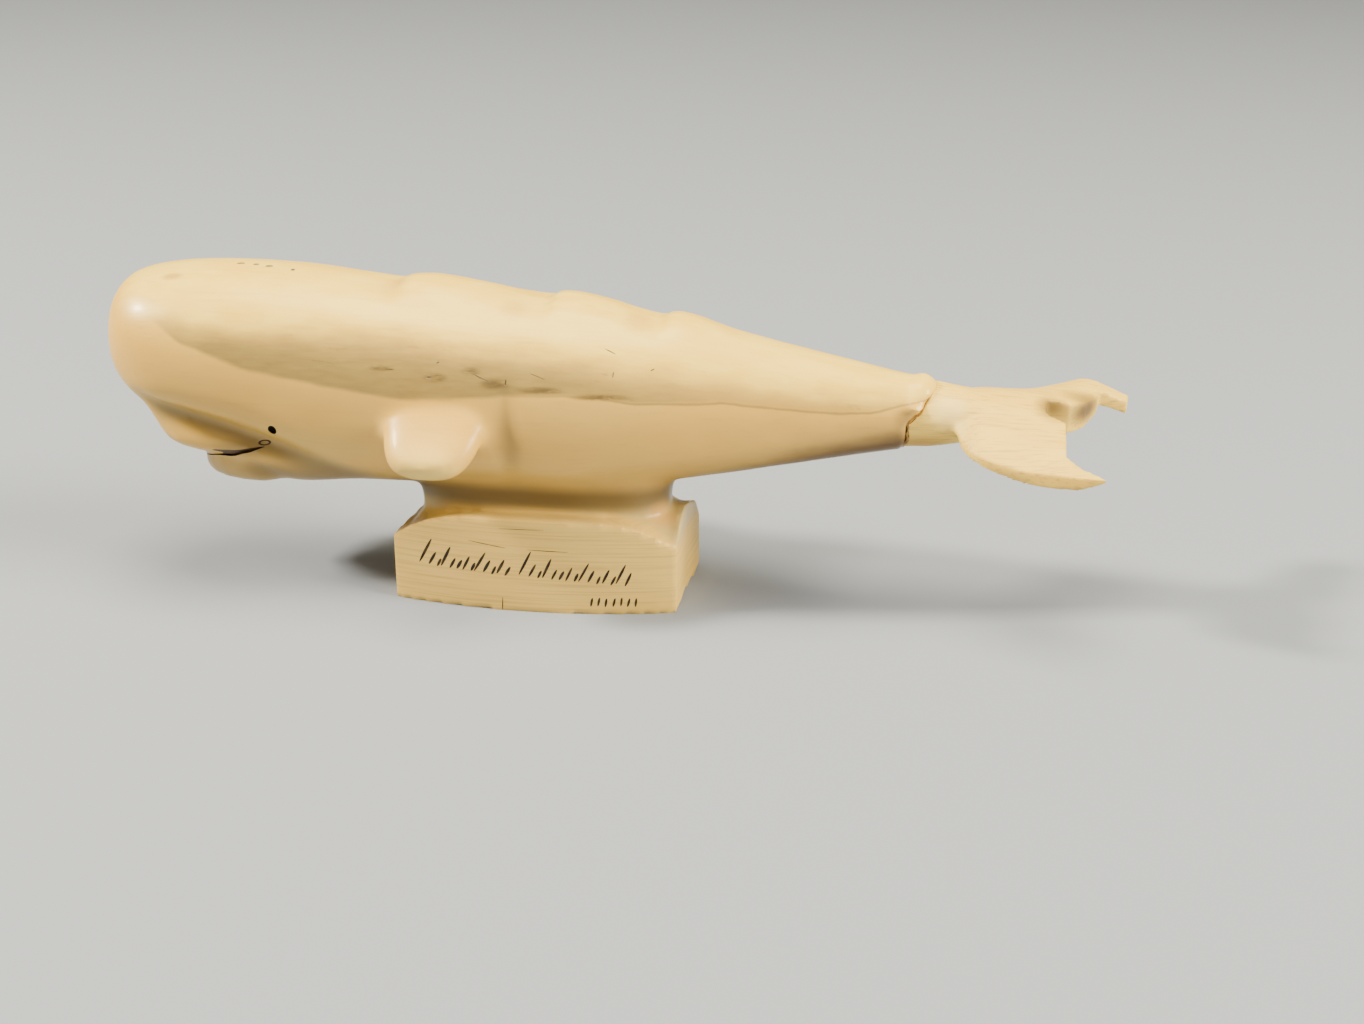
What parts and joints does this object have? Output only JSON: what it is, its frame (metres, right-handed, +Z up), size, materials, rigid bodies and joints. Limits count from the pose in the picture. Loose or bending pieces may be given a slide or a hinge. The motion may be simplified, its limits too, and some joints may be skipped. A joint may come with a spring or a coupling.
{
  "type": "carved ivory whale figurine",
  "caption": "Small sperm whale carved in one with a waisted block plinth, with its broken tail flukes glued back on, resting on the plinth.",
  "frame": {"origin": "centre of the plinth's flat underside, on the table", "axes": "+Z up, the whale's head towards -X and its tail towards +X, its left side towards -Y"},
  "size_m": [0.1145, 0.0306, 0.0366],
  "materials": {
    "polished_ivory": "satin",
    "matt_ivory": "matte"
  },
  "bodies": {
    "root": {"whale_body": "polished_ivory", "tail_flukes": "matt_ivory"}
  },
  "joints": []
}
